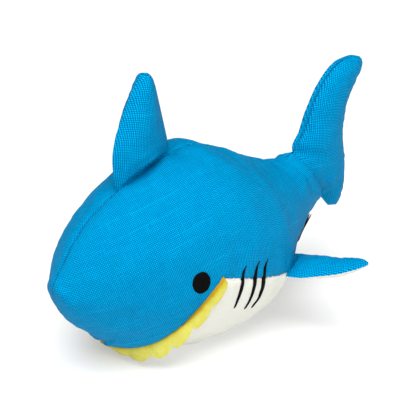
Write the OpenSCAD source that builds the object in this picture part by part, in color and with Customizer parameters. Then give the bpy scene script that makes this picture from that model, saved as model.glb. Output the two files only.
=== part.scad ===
/* [Overall] */
// Length of the toy from its nose to the tip of its tail
total_length = 240; // [225:1:255]
// Half of the trunk's greatest width
half_width = 53; // [50:0.5:56]

/* [Fabric] */
// Thickness of a fabric panel with its backing
cloth = 1; // [0.8:0.1:1.3]
// Space between a panel and the filling behind it
filling_gap = 1; // [0.8:0.1:1.4]
// Thickness of the felt that the teeth are cut from
felt = 1.8; // [1.2:0.1:2.4]
// Radius of the sewing thread
thread_r = 0.35; // [0.25:0.05:0.5]

/* [Face] */
// Width of an embroidered eye
eye_w = 11; // [8:0.5:12]
// Height of an embroidered eye
eye_h = 13.5; // [10:0.5:14]
// Number of felt teeth round the mouth
tooth_count = 12; // [8:2:16]
// Depth of the longest felt teeth below the lip
tooth_depth = 12; // [9:0.5:13]
// How far the notches cut into the strip, as a share of its depth
tooth_wave = 0.44; // [0.3:0.02:0.6]
// Width of a gill stroke at its wide end
gill_w = 2.4; // [1.6:0.1:3]

/* [Fins] */
// Half the thickness of the stuffed dorsal fin
dorsal_t = 8.5; // [6:0.5:10]
// Half the thickness of a stuffed side fin
side_fin_t = 4.5; // [3:0.5:6]
// Half the thickness of the stuffed tail fin
tail_t = 9.5; // [7:0.5:11]
// Space left at the sewn root of a fin, so that it can bend
root_gap = 1.5; // [1.2:0.1:2]

/* [Hidden] */

blue = "#1787c9";
white = "#e6e8e0";
k = total_length / 240;

// Stations of the trunk, from the nose to the tail seam. Each is the top point (y, z),
// the bottom point (y, z) and the half-width, as a share of the greatest, of an oval.
trunk = [
    [-119.6, 59, -119.6, 59, 0],
    [-119.4, 64, -117.6, 53, 0.14],
    [-115.5, 70, -111.5, 40, 0.25],
    [-105, 85, -100, 28, 0.45],
    [-90, 99, -87, 16, 0.62],
    [-62, 113, -62, 5, 0.85],
    [-30, 122, -29, -3, 1],
    [8, 110.5, 15, 5.5, 0.98],
    [45, 92, 40, 33, 0.6],
    [63, 93, 83, 57, 0.26],
];
last = len(trunk) - 1;
// How much narrower than an oval a station is at its bottom
belly_slim = 0.06;
first = 0.04;
// The mouth: where the belly panel starts under the snout, and where the lip ends
lip_front = 4;
lip_corner = 5.8;
corner_angle = 89.5;

// Rows of a fin, from its root: leading point, trailing point, share of the thickness
dorsal = [
    [0, -73.5, 108.5, 0, -36, 122.5, 0.1],
    [0, -75.5, 119, 0, -37, 129, 0.85],
    [0, -75, 134, 0, -39.5, 142, 1],
    [0, -70, 150, 0, -42.5, 155, 0.9],
    [0, -63, 163, 0, -45.5, 166, 0.65],
    [0, -57.5, 171, 0, -48.5, 171.5, 0.35],
    [0, -54, 174, 0, -51, 174, 0.1],
];
side_fin = [
    [50.5, 14, 45, 33.5, 38, 44.5, 0.1],
    [56, 19, 44.5, 41, 42, 45, 0.85],
    [62, 27, 45, 49.5, 46, 45.5, 1],
    [69, 35.5, 46.5, 58.5, 50, 47.5, 0.95],
    [75, 43.5, 49.5, 67, 53, 50, 0.7],
    [78.5, 48.5, 51.5, 73.5, 53.5, 52, 0.4],
    [79.5, 51, 52.5, 77.5, 53, 52.5, 0.15],
];
tail = [
    [0, 94.5, 47, 0, 102, 45, 0.15],
    [0, 88.5, 54.5, 0, 105, 50.5, 0.6],
    [0, 80, 65, 0, 107, 62, 0.95],
    [0, 71.5, 80, 0, 107, 79, 1],
    [0, 64.5, 93, 0, 105, 93, 1],
    [0, 67, 107, 0, 106, 106, 0.9],
    [0, 74.5, 121, 0, 107.5, 117.5, 0.85],
    [0, 84, 134.5, 0, 114, 127, 0.75],
    [0, 96, 143.5, 0, 118.5, 134, 0.6],
    [0, 107, 146, 0, 119, 139.5, 0.35],
    [0, 113, 145.5, 0, 117.5, 143, 0.12],
];
// Lines that the fins bend about: two points of each sewn root
dorsal_root = [[0, -73.5, 109.5], [0, -36, 123.5]];
side_root = [[50.5, 14, 45], [33.5, 38, 44.5]];
tail_root = [[0, 64, 94], [0, 84, 58]];
// The seam line that the label is sewn to, its place along the trunk and its length below
label_root = [[27.8, 43.5, 48.5], [17.3, 63.5, 55.5]];
label_t = 8.3;
label_leaf = 6;
// The way a side fin points, and the upward normal of its plane
side_way = [30, 35, 8.5];
side_normal = unit(cross(side_way, side_root[1] - side_root[0]));

// Smooth curve through a list of points. The parameter is a place in the list.
function beyond(list, i) =
    i < 0 ? 2 * list[0] - list[1] :
    i > len(list) - 1 ? 2 * list[i - 1] - list[i - 2] :
    list[i];
function curve(list, t) =
    let (i = min(floor(t), len(list) - 2), f = t - i)
    let (a = beyond(list, i - 1), b = list[i], c = list[i + 1], d = beyond(list, i + 2))
    (2 * b + (c - a) * f + (2 * a - 5 * b + 4 * c - d) * f * f
        + (3 * b - a - 3 * c + d) * f * f * f) / 2;
function unit(v) = v / norm(v);
function steps(a, b, n) = [for (i = [0 : n]) a + (b - a) * i / n];
function part_of(row, from, to) = [for (i = [from : to]) row[i]];

// A point of the trunk's outside. The angle runs from the back seam, 0, down the left side.
// The belly is pressed flat where the toy rests on it.
function skin(t, angle) =
    let (s = curve(trunk, t), v = (1 + cos(angle)) / 2)
    [half_width * s[4] * sin(angle) * (1 - belly_slim * (1 - v) * (1 - v)),
     k * (s[2] + v * (s[0] - s[2])),
     max(0, k * (s[3] + v * (s[1] - s[3])))];
function skin_normal(t, angle) =
    let (e = 0.01, t1 = min(t + e, last), t0 = t1 - 2 * e)
    unit(cross(skin(t, angle + 1) - skin(t, angle - 1), skin(t1, angle) - skin(t0, angle)));
function raised(t, angle, height) = skin(t, angle) + height * skin_normal(t, angle);
// The lip runs round the front of the mouth: 0 at its middle, 1 at the left corner
function lip_t(q) = lip_front + (lip_corner - lip_front) * pow(q, 1 / 0.6);
function lip_angle(q) = corner_angle + (180 - corner_angle) * pow(sin(90 * (1 - q)), 1.15);
// Angle of the seam between the side panel and the belly panel
function seam_angle(t) =
    t <= lip_front ? 180 :
    t < lip_corner ? lip_angle(pow((t - lip_front) / (lip_corner - lip_front), 0.6)) :
    corner_angle + 45.5 * pow((t - lip_corner) / (last - lip_corner), 1.2);

// A solid between two grids of points with the same rows and columns
module slab(outer, inner) {
    rows = len(outer);
    cols = len(outer[0]);
    n = rows * cols;
    function at(i, j) = i * cols + j;
    function quad(a, b, c, d) = [[a, b, c], [a, c, d]];
    faces = [
        for (i = [0 : rows - 2], j = [0 : cols - 2])
            each quad(at(i, j), at(i + 1, j), at(i + 1, j + 1), at(i, j + 1)),
        for (i = [0 : rows - 2], j = [0 : cols - 2])
            each quad(n + at(i, j), n + at(i, j + 1), n + at(i + 1, j + 1), n + at(i + 1, j)),
        for (i = [0 : rows - 2])
            each quad(at(i, 0), n + at(i, 0), n + at(i + 1, 0), at(i + 1, 0)),
        for (i = [0 : rows - 2])
            each quad(at(i, cols - 1), at(i + 1, cols - 1),
                      n + at(i + 1, cols - 1), n + at(i, cols - 1)),
        for (j = [0 : cols - 2])
            each quad(at(0, j), at(0, j + 1), n + at(0, j + 1), n + at(0, j)),
        for (j = [0 : cols - 2])
            each quad(at(rows - 1, j), n + at(rows - 1, j),
                      n + at(rows - 1, j + 1), at(rows - 1, j + 1)),
    ];
    polyhedron(concat([for (r = outer) each r], [for (r = inner) each r]), faces);
}

// A solid inside rings of points
module rings(list) {
    count = len(list);
    cols = len(list[0]);
    function at(i, j) = i * cols + j % cols;
    faces = [
        for (i = [0 : count - 2], j = [0 : cols - 1])
            each [[at(i, j), at(i + 1, j), at(i + 1, j + 1)],
                  [at(i, j), at(i + 1, j + 1), at(i, j + 1)]],
        for (j = [1 : cols - 2]) [at(0, 0), at(0, j), at(0, j + 1)],
        for (j = [1 : cols - 2])
            [at(count - 1, 0), at(count - 1, j + 1), at(count - 1, j)],
    ];
    polyhedron([for (r = list) each r], faces);
}

// One stitch of thread from point a to point b
module stitch(a, b) {
    d = b - a;
    translate(a)
        rotate([0, acos(d.z / norm(d)), atan2(d.y, d.x)])
            cylinder(h = norm(d), r = thread_r, $fn = 16);
}

// ---- Trunk ----

side_rows = concat(steps(first, lip_front, 12), [for (q = steps(0.08, 1, 12)) lip_t(q)],
                   steps(lip_corner + 0.2, last, 15));
belly_rows = concat([for (q = steps(0.08, 1, 12)) lip_t(q)], steps(lip_corner + 0.2, last, 15));

module side_panel() {
    share = steps(0, 1, 14);
    slab([for (t = side_rows) [for (f = share) skin(t, f * seam_angle(t))]],
         [for (t = side_rows) [for (f = share) raised(t, f * seam_angle(t), -cloth)]]);
}

module side_panel_left() {
    color(blue) side_panel();
}

module side_panel_right() {
    color(blue) mirror([1, 0, 0]) side_panel();
}

module belly_panel() {
    share = steps(0, 1, 14);
    function angle(t, f) = seam_angle(t) + f * (360 - 2 * seam_angle(t));
    color(white)
        slab([for (t = belly_rows) [for (f = share) skin(t, angle(t, f))]],
             [for (t = belly_rows) [for (f = share) raised(t, angle(t, f), -cloth)]]);
}

module body_stuffing() {
    depth = cloth + filling_gap;
    color("white")
        rings([for (t = steps(first + 0.3, last - 0.06, 26))
               [for (j = [0 : 27]) raised(t, j * 360 / 28, -depth)]]);
}

// ---- Face ----

// The felt strip is sewn in behind the lip and hangs down in front of the chin
module teeth_strip() {
    per_tooth = 6;
    count = tooth_count * per_tooth;
    function base(q) =
        let (a = lip_angle(abs(q)))
        [lip_t(abs(q)), q < 0 ? 360 - a : a];
    function point(q, d, height) =
        let (b = base(q), n = skin_normal(b[0], b[1]), e = 0.01)
        let (b0 = base(max(q - e, -1)), b1 = base(min(q + e, 1)))
        let (along = unit(skin(b1[0], b1[1]) - skin(b0[0], b0[1])), down = cross(along, n))
        let (plumb = min(0.9, 2.5 - 2.1 * abs(q)))
        let (way = unit((1 - plumb) * down + [0, 0, -plumb] + 0.1 * n))
        skin(b[0], b[1]) + d * way + (0.3 + height) * unit(cross(way, along));
    // Shares of the lip's length turned into places on it, so that the teeth are equally wide
    function place(i) =
        let (share = 2 * i / count - 1)
        sign(share) * pow(abs(share), 0.52);
    function depth(i) =
        let (q = abs(place(i)), notch = 1 - sqrt(abs(sin(i * 180 / per_tooth))))
        tooth_depth * min(0.92 + 0.11 * q, 2.47 - 2.1 * q) * (1 - tooth_wave * notch);
    color("#f0dc3c")
        slab([for (i = [0 : count]) [for (f = [0, 0.35, 0.7, 1])
                 point(place(i), f * depth(i), felt)]],
             [for (i = [0 : count]) [for (f = [0, 0.35, 0.7, 1])
                 point(place(i), f * depth(i), 0)]]);
}

module eye(side) {
    t = 5.36;
    angle = 88;
    p = raised(t, angle, 0.05);
    n = skin_normal(t, angle);
    layers = [[1, 0.5], [0.85, 0.9], [0.6, 1.1]];
    oval = [for (a = [0 : 10 : 350]) [eye_h / 2 * cos(a), eye_w / 2 * sin(a)]];
    color("#101012")
        mirror([side, 0, 0])
            translate(p)
                rotate([0, acos(n.z), atan2(n.y, n.x)])
                    for (layer = layers)
                        linear_extrude(layer[1])
                            polygon(oval * layer[0]);
}

module eye_left() {
    eye(0);
}

module eye_right() {
    eye(1);
}

// Three satin-stitched strokes that taper downwards and curve towards the mouth
module gill_stitches(side) {
    starts = [[6.2, 85, 27], [6.42, 84.5, 32], [6.58, 85, 35]];
    function across(t, angle, w) =
        [for (f = [-1, 0, 1]) [t + f * w / 2 / 34, angle, 1 - abs(f)]];
    function stroke(s, base, top) =
        [for (f = steps(0, 1, 10))
            let (hook = 0.1 * (1 - exp(-8 * f)) + 0.03 * f * f - 0.035 * sin(180 * f))
            let (t = s[0] - hook, angle = s[1] + s[2] * f)
            let (w = gill_w * (0.35 + 0.65 * sqrt(sin(180 * min(0.98, 0.1 + f * 0.8)))))
            [for (p = across(t, angle, w)) raised(p[0], p[1], base + top * (0.3 + 0.7 * p[2]))]];
    color("#101012")
        mirror([side, 0, 0])
            for (s = starts)
                slab(stroke(s, 0.05, 0.8), stroke(s, 0.05, 0));
}

module gill_stitches_left() {
    gill_stitches(0);
}

module gill_stitches_right() {
    gill_stitches(1);
}

// The row of stitches that shows along the back seam, from the nose to the dorsal fin
module back_seam_thread() {
    color("#0b4f86")
        for (i = [0 : 24])
            stitch(raised(0.7 + i * 0.155, 0, thread_r), raised(0.79 + i * 0.155, 0, thread_r));
}

// ---- Fins ----

// Half the thickness of a fin at a share s of its height and c of its width.
// Near its root line it narrows to a wedge, so that it can bend.
function fin_place(rows, s, c) =
    let (row = curve(rows, s * (len(rows) - 1)))
    k * (part_of(row, 0, 2) * (1 - c) + part_of(row, 3, 5) * c);
function fin_half(rows, root, thickness, s, c) =
    let (row = curve(rows, s * (len(rows) - 1)), p = fin_place(rows, s, c))
    let (away = norm(cross(unit(root[1] - root[0]), p - k * root[0])))
    min(cloth + thickness * max(0, row[6]) * pow(max(0, 4 * c * (1 - c)), 0.8),
        0.5 + 0.85 * away);

// One fabric panel of a fin. The offset moves the fin off the trunk by the root gap.
module fin_panel(rows, root, thickness, normal, offset) {
    s_list = steps(0, 1, 16);
    c_list = [for (a = steps(0, 180, 12)) (1 - cos(a)) / 2];
    function at(s, c, depth) =
        fin_place(rows, s, c) + offset
        + normal * max(0.05, fin_half(rows, root, thickness, s, c) - depth);
    slab([for (s = s_list) [for (c = c_list) at(s, c, 0)]],
         [for (s = s_list) [for (c = c_list) at(s, c, cloth * 0.8)]]);
}

module fin_stuffing(rows, root, thickness, normal, offset) {
    s_list = steps(0.06, 0.94, 14);
    c_list = [for (a = steps(18, 162, 10)) (1 - cos(a)) / 2];
    function at(s, c, way) =
        fin_place(rows, s, c) + offset
        + way * normal
          * max(0.02, fin_half(rows, root, thickness, s, c) - cloth * 0.8 - filling_gap / 2);
    slab([for (s = s_list) [for (c = c_list) at(s, c, 1)]],
         [for (s = s_list) [for (c = c_list) at(s, c, -1)]]);
}

dorsal_offset = root_gap * unit([0, -14, 37.5]);
tail_offset = root_gap * unit([0, 36, 20]);
side_offset = root_gap * unit([24, 17, 0]);

module dorsal_panel_left() {
    color(blue) fin_panel(dorsal, dorsal_root, dorsal_t, [1, 0, 0], dorsal_offset);
}

module dorsal_panel_right() {
    color(blue) mirror([1, 0, 0]) dorsal_panel_left();
}

module dorsal_stuffing() {
    color("white") fin_stuffing(dorsal, dorsal_root, dorsal_t, [1, 0, 0], dorsal_offset);
}

module left_fin_top_panel() {
    color(blue) fin_panel(side_fin, side_root, side_fin_t, side_normal, side_offset);
}

module left_fin_bottom_panel() {
    color(white) fin_panel(side_fin, side_root, side_fin_t, -side_normal, side_offset);
}

module left_fin_stuffing() {
    color("white") fin_stuffing(side_fin, side_root, side_fin_t, side_normal, side_offset);
}

module right_fin_top_panel() {
    color(blue) mirror([1, 0, 0]) left_fin_top_panel();
}

module right_fin_bottom_panel() {
    color(white) mirror([1, 0, 0]) left_fin_bottom_panel();
}

module right_fin_stuffing() {
    color("white") mirror([1, 0, 0]) left_fin_stuffing();
}

module tail_panel_left() {
    color(blue) fin_panel(tail, tail_root, tail_t, [1, 0, 0], tail_offset);
}

module tail_panel_right() {
    color(blue) mirror([1, 0, 0]) tail_panel_left();
}

module tail_stuffing() {
    color("white") fin_stuffing(tail, tail_root, tail_t, [1, 0, 0], tail_offset);
}

// A line of stitches beside the tail's leading edge, on both sides
module tail_topstitching() {
    count = 18;
    function at(f) =
        let (s = 0.42 + 0.42 * f, c = 0.1)
        fin_place(tail, s, c) + tail_offset
        + [fin_half(tail, tail_root, tail_t, s, c) + thread_r, 0, 0];
    color("#0b4f86")
        for (side = [0, 1], i = [0 : count - 1])
            mirror([side, 0, 0])
                stitch(at(i / count), at((i + 0.6) / count));
}

// A blank woven label, folded once and sewn into the left seam by its two ends
module side_label() {
    half = 0.7;
    along = unit(label_root[1] - label_root[0]);
    hang = unit(cross(along, skin_normal(label_t, seam_angle(label_t))));
    face = cross(along, hang);
    function fold(r) = concat(
        [for (d = steps(0, label_leaf, 3)) d * hang + r * face],
        [for (a = [45, 90, 135]) (label_leaf + r * sin(a)) * hang + r * cos(a) * face],
        [for (d = steps(label_leaf, 0, 3)) d * hang - r * face]);
    color("#141414")
        slab([for (p = fold(half)) [for (end = label_root) k * end + p]],
             [for (p = fold(half - 0.4)) [for (end = label_root) k * end + p]]);
}

side_panel_left();
side_panel_right();
belly_panel();
body_stuffing();
teeth_strip();
eye_left();
eye_right();
gill_stitches_left();
gill_stitches_right();
back_seam_thread();
dorsal_panel_left();
dorsal_panel_right();
dorsal_stuffing();
left_fin_top_panel();
left_fin_bottom_panel();
left_fin_stuffing();
right_fin_top_panel();
right_fin_bottom_panel();
right_fin_stuffing();
tail_panel_left();
tail_panel_right();
tail_stuffing();
tail_topstitching();
side_label();
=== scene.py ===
"""The plush shark: sewn panels, felt teeth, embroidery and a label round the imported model."""
import math

import bpy
import numpy as np
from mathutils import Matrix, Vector
from mathutils.bvhtree import BVHTree


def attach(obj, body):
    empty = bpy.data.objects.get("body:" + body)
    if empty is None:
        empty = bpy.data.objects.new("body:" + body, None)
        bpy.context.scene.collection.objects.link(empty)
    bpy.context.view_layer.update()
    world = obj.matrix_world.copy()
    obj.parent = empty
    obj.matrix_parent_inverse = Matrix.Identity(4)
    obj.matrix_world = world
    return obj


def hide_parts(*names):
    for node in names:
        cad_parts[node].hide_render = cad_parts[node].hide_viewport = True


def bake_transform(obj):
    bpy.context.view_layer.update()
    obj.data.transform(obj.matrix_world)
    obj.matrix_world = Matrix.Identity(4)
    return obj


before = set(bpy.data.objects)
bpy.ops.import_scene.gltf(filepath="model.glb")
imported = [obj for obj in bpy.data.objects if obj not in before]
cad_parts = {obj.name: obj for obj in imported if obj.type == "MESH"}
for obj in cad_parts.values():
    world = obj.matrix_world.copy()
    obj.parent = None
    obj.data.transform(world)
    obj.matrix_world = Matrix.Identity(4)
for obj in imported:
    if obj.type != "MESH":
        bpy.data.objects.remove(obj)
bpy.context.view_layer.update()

# ---------------------------------------------------------------- sizes, in millimetres
MM = 0.001
CLOTH = 0.8          # thickness of a fabric panel
THREAD_PITCH = 0.98  # distance between neighbouring threads of the weave
HALF_WIDTH = 53.0    # half of the trunk's greatest width
BELLY_SLIM = 0.06    # how much narrower than an oval a station is at its bottom
LIP_FRONT, LIP_CORNER, CORNER_ANGLE = 4.0, 5.8, 89.5
SEAM_FILLET = 1.2    # how far a panel's edge rounds down into the side seam
LIP_FILLET = 1.7     # the same along the lip, where the filling pushes the edge out
BACK_FILLET = 1.9    # the same along the back seam
TAIL_FILLET = 2.1    # the same at the tail seam
LIP_BULGE = 2.4      # how far the lip stands out in front of its seam
LIP_RECESS = 3.4     # how far the belly panel lies behind it
TUCK = (1.3, 2.6)    # how deep the two rows of a seam allowance lie behind the seam
TOOTH_COUNT = 12
TOOTH_DEPTH = 12.0   # from the seam to the tip of a tooth half way up the mouth
TOOTH_NOTCH = 0.44   # share of the depth that the notches between the teeth take away
TOOTH_LIFT = 1.9     # how far the strip stands off the belly panel
FELT = 1.7           # thickness of the felt

# Stations of the trunk: top point (y, z), bottom point (y, z), share of the half-width
TRUNK = np.array([
    [-119.6, 59, -119.6, 59, 0], [-119.4, 64, -117.6, 53, 0.14],
    [-115.5, 70, -111.5, 40, 0.25], [-105, 85, -100, 28, 0.45],
    [-90, 99, -87, 16, 0.62], [-62, 113, -62, 5, 0.85], [-30, 122, -29, -3, 1],
    [8, 110.5, 15, 5.5, 0.98], [45, 92, 40, 33, 0.6], [63, 93, 83, 57, 0.26],
])
LAST = len(TRUNK) - 1
# Rows of a fin from its root: leading point, trailing point, share of the thickness.
# The first row lies inside the trunk.
DORSAL = np.array([
    [0, -72.5, 105.5, 0, -37, 119.5, 0.3], [0, -73.5, 108.5, 0, -36, 122.5, 0.7],
    [0, -75.7, 119, 0, -36.3, 129, 0.95],
    [0, -75.4, 134, 0, -39.2, 142, 1], [0, -69.6, 150, 0, -42.2, 155, 0.92],
    [0, -62.6, 163, 0, -44.9, 166, 0.75], [0, -57.5, 171, 0, -47.3, 171.3, 0.6],
    [0, -54.3, 174, 0, -50.3, 174.2, 0.35],
])
SIDE_FIN = np.array([
    [46.5, 12, 43.5, 30, 35.5, 43.5, 0.3], [50.5, 14, 43.5, 33.5, 38, 44, 0.7],
    [56, 19, 43.3, 41, 42, 44.5, 0.9], [62, 27, 44, 49.5, 46, 45.2, 1],
    [69, 35.5, 45.3, 58.5, 50, 46.2, 0.95], [75, 43.5, 47.8, 67, 53, 48.2, 0.75],
    [78.5, 48.5, 49.8, 73.5, 53.5, 50.3, 0.45], [79.5, 51, 50.8, 77.5, 53, 50.9, 0.15],
])
TAIL = np.array([
    [0, 94.3, 46.8, 0, 102, 44.8, 0.3], [0, 88, 54.5, 0, 104.8, 50.5, 0.6],
    [0, 80, 65, 0, 107, 62, 0.9], [0, 71.5, 80, 0, 106.3, 79, 1],
    [0, 62, 95, 0, 104.6, 93, 1], [0, 67.6, 106, 0, 105.8, 106, 0.9],
    [0, 74, 120, 0, 107.5, 117.5, 0.85], [0, 83.5, 134.5, 0, 113.8, 127, 0.75],
    [0, 95.5, 143.5, 0, 118.4, 134, 0.6], [0, 107, 145.2, 0, 119, 139.5, 0.4],
    [0, 113, 144.4, 0, 117.5, 142.6, 0.15],
])
DORSAL_ROOT = np.array([[0, -73.5, 109.5], [0, -36, 123.5]])
SIDE_ROOT = np.array([[50.5, 14, 45], [33.5, 38, 44.5]])
TAIL_ROOT = np.array([[0, 64, 94], [0, 84, 58]])
TAIL_SEAM = (1.95, 3.75)  # rows of TAIL between which its leading edge is sewn to the trunk
# Creases of the trunk: deep end, shallow end, depth, width
CREASES = (
    ((2, -35, 122), (22, -22, 116), 1.5, 5), ((0, -12, 120), (18, 6, 108), 0.8, 5),
    ((12, 74, 78), (26, 52, 74), 1.1, 4), ((6, 66, 92), (24, 48, 84), 1.0, 4),
)
TOPSTITCH = 0.085    # place of the tail's topstitching across its width
TOPSTITCH_ROWS = (0.42, 0.86)
DORSAL_HALF, SIDE_HALF, TAIL_HALF = 9.5, 4.7, 10.3  # half of each fin's thickness
TAIL_RING = 12.3      # half of the width with which the tail opens towards the trunk
X = np.array([1.0, 0, 0])
EYE_T, EYE_ANGLE = 5.36, 88.0
EYE_RADII = (5.5, 6.75)
GILLS = ((6.2, 85, 27), (6.42, 84.5, 32), (6.58, 85, 35))  # station, angle, span of the angle
GILL_HALF = 1.2       # half of the greatest width of a stroke
LABEL_ENDS = np.array([[26.8, 43, 49], [16.1, 62.8, 56]])
LABEL_LEAF = 6.0      # how far the folded label stands out of its seam
LABEL_CLOTH = 0.35

# ---------------------------------------------------------------- studio, in metres and watts
LIGHTS = (("key", (0.65, -0.85, 2.6), 2.7, 127), ("side", (2.6, -0.7, 1.3), 1.6, 41))
LIGHT_TARGET = (0, 0, 0.06)
WORLD_LIGHT = 0.04
FLOOR_HALF = 4.0
FLOOR_TONE, FLOOR_GLOW = 0.62, 0.35
CAMERA_PLACE = (0.6826, -0.5827, 0.5140)
CAMERA_TARGET = (-0.0035, -0.0030, 0.0741)
CAMERA_LENS = 144.2  # millimetres, on a sensor 36 mm wide


# ---------------------------------------------------------------- curves and surfaces
def unit(v):
    """Vectors of length 1 with the directions of v."""
    return v / np.maximum(np.linalg.norm(v, axis=-1, keepdims=True), 1e-9)


SIDE_UP = unit(np.cross([30, 35, 8.5], SIDE_ROOT[1] - SIDE_ROOT[0]))
TAIL_WAY = unit(np.array([0, 36, 20.0]))
TAIL_MID = TAIL_ROOT.mean(0)


def curve(points, t):
    """Smooth curve through the rows of points; t is a place in the list."""
    p = np.vstack([2 * points[0] - points[1], points, 2 * points[-1] - points[-2]])
    t = np.asarray(t, float)
    i = np.minimum(np.floor(t).astype(int), len(points) - 2)
    f = (t - i)[..., None]
    a, b, c, d = p[i], p[i + 1], p[i + 2], p[i + 3]
    return (2 * b + (c - a) * f + (2 * a - 5 * b + 4 * c - d) * f ** 2
            + (3 * b - a - 3 * c + d) * f ** 3) / 2


def skin(t, angle):
    """The trunk's outside. The angle runs from the back seam, 0, down the left side."""
    t, angle = np.broadcast_arrays(np.asarray(t, float), np.asarray(angle, float))
    s = curve(TRUNK, t)
    a = np.radians(angle)
    v = (1 + np.cos(a)) / 2
    x = HALF_WIDTH * s[..., 4] * np.sin(a) * (1 - BELLY_SLIM * (1 - v) ** 2)
    y = s[..., 2] + v * (s[..., 0] - s[..., 2])
    z = s[..., 3] + v * (s[..., 1] - s[..., 3])
    return np.stack([x, y, np.maximum(z, 0)], -1)


def skin_normal(t, angle):
    """The direction straight out of the skin."""
    e = 0.01
    t1 = np.minimum(np.asarray(t, float) + e, LAST)
    across = skin(t, np.asarray(angle) + 1) - skin(t, np.asarray(angle) - 1)
    return unit(np.cross(across, skin(t1, angle) - skin(t1 - 2 * e, angle)))


def lip_t(q):
    """Station of the lip, from 0 at the middle of the mouth to 1 at its corner."""
    return LIP_FRONT + (LIP_CORNER - LIP_FRONT) * q ** (1 / 0.6)


def seam_angle(t):
    """Angle of the seam between the side panel and the belly panel."""
    t = np.asarray(t, float)
    q = (np.clip(t - LIP_FRONT, 0, None) / (LIP_CORNER - LIP_FRONT)) ** 0.6
    drop = np.sin(np.pi / 2 * (1 - np.minimum(q, 1))) ** 1.15
    lip = CORNER_ANGLE + (180 - CORNER_ANGLE) * drop
    rear = CORNER_ANGLE + 45.5 * (np.clip(t - LIP_CORNER, 0, None) / (LAST - LIP_CORNER)) ** 1.2
    jog = 0.35 * (np.sin(t * 71) + np.sin(t * 113 + 1))
    return np.where(t <= LIP_FRONT, 180, np.where(t < LIP_CORNER, lip, rear + jog))


def wobble(p, wavelength, seed):
    """Smooth seeded noise at points p, about -1 to 1."""
    rng = np.random.default_rng(seed)
    total = 0
    for _ in range(7):
        way = unit(rng.normal(size=3))
        scale = 2 * math.pi / (wavelength * rng.uniform(0.7, 1.4))
        total = total + np.sin(p @ way * scale + rng.uniform(0, 6.28))
    return total / 3.2


def to_line(p, line):
    """Distance from points p to a polyline, and the place along it."""
    flat = p.reshape(-1, 3)
    a, d = line[:-1], np.diff(line, axis=0)
    size = np.linalg.norm(d, axis=1)
    start = np.concatenate([[0], np.cumsum(size)[:-1]])
    best, place = np.full(len(flat), 1e9), np.zeros(len(flat))
    for k in range(len(a)):
        f = np.clip((flat - a[k]) @ d[k] / max(size[k] ** 2, 1e-9), 0, 1)
        r = np.linalg.norm(flat - a[k] - f[:, None] * d[k], axis=1)
        near = r < best
        best[near], place[near] = r[near], start[k] + f[near] * size[k]
    return best.reshape(p.shape[:-1]), place.reshape(p.shape[:-1])


def hump(x, middle, width):
    """A smooth rise from 0 to 1 and back, centred on middle."""
    return np.exp(-((x - middle) / width) ** 2)


def fillet(d, r):
    """How far the surface has sunk at distance d from a seam whose edges round off by r."""
    return r - np.sqrt(np.maximum(r ** 2 - np.clip(r - d, 0, r) ** 2, 0))


def pucker(d, place, pitch, depth, reach, seed):
    """Small folds that run away from a seam and fade out."""
    rng = np.random.default_rng(seed)
    waves = 0
    for k in (0.8, 1.0, 1.3):
        waves = waves + np.sin(2 * math.pi * place / (pitch * k) + rng.uniform(0, 6.28))
    return depth * waves / 1.8 * np.exp(-d / reach) * (1 - np.exp(-d / 1.2))


def crease(p, a, b, depth, width):
    """A soft valley along the line from a to b, deepest at a."""
    a, b = np.array(a, float), np.array(b, float)
    f = np.clip((p - a) @ (b - a) / ((b - a) @ (b - a)), 0, 1)
    r = np.linalg.norm(p - a - f[..., None] * (b - a), axis=-1)
    return depth * (1 - 0.85 * f) * np.exp(-(r / width) ** 2)


def lengths(p, axis):
    """Distance travelled along one axis of a grid of points."""
    step = np.linalg.norm(np.diff(p, axis=axis), axis=-1)
    pad = [(1, 0), (0, 0)] if axis == 0 else [(0, 0), (1, 0)]
    return np.pad(np.cumsum(step, axis=axis), pad)


def eased(n, low=0.0, high=1.0, pull=0.7):
    """Steps from low to high that are closer together near both ends."""
    f = np.linspace(0, 1, n)
    f = (1 - pull) * f + pull * (1 - np.cos(np.pi * f)) / 2
    return low + (high - low) * f


# ---------------------------------------------------------------- meshes
def make(name, points, faces, material, uv=None):
    """A smooth mesh object from points and uv places in millimetres."""
    mesh = bpy.data.meshes.new(name)
    mesh.from_pydata((np.asarray(points) * MM).tolist(), [], [list(map(int, f)) for f in faces])
    if uv is not None:
        layer = mesh.uv_layers.new(name="UVMap")
        loops = np.zeros(len(mesh.loops), int)
        mesh.loops.foreach_get("vertex_index", loops)
        layer.data.foreach_set("uv", (np.asarray(uv)[loops] * MM).ravel())
    mesh.materials.append(material)
    mesh.shade_smooth()
    obj = bpy.data.objects.new(name, mesh)
    bpy.context.scene.collection.objects.link(obj)
    return obj


def grid_faces(rows, cols, flip=False):
    """The quads of a grid of points."""
    i, j = np.meshgrid(np.arange(rows - 1), np.arange(cols - 1), indexing="ij")
    a = (i * cols + j).ravel()
    quads = np.stack([a, a + cols, a + cols + 1, a + 1], 1)
    return quads[:, ::-1] if flip else quads


def rim_faces(rows, cols, flip=False):
    """Faces that join the border of one grid to the border of the next one."""
    i, j = np.arange(rows - 1), np.arange(cols - 1)
    n = rows * cols
    sides = [
        (i * cols, (i + 1) * cols), ((i + 1) * cols + cols - 1, i * cols + cols - 1),
        (j + 1, j), ((rows - 1) * cols + j, (rows - 1) * cols + j + 1),
    ]
    quads = np.vstack([np.stack([a, n + a, n + b, b], 1) for a, b in sides])
    return quads[:, ::-1] if flip else quads


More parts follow.
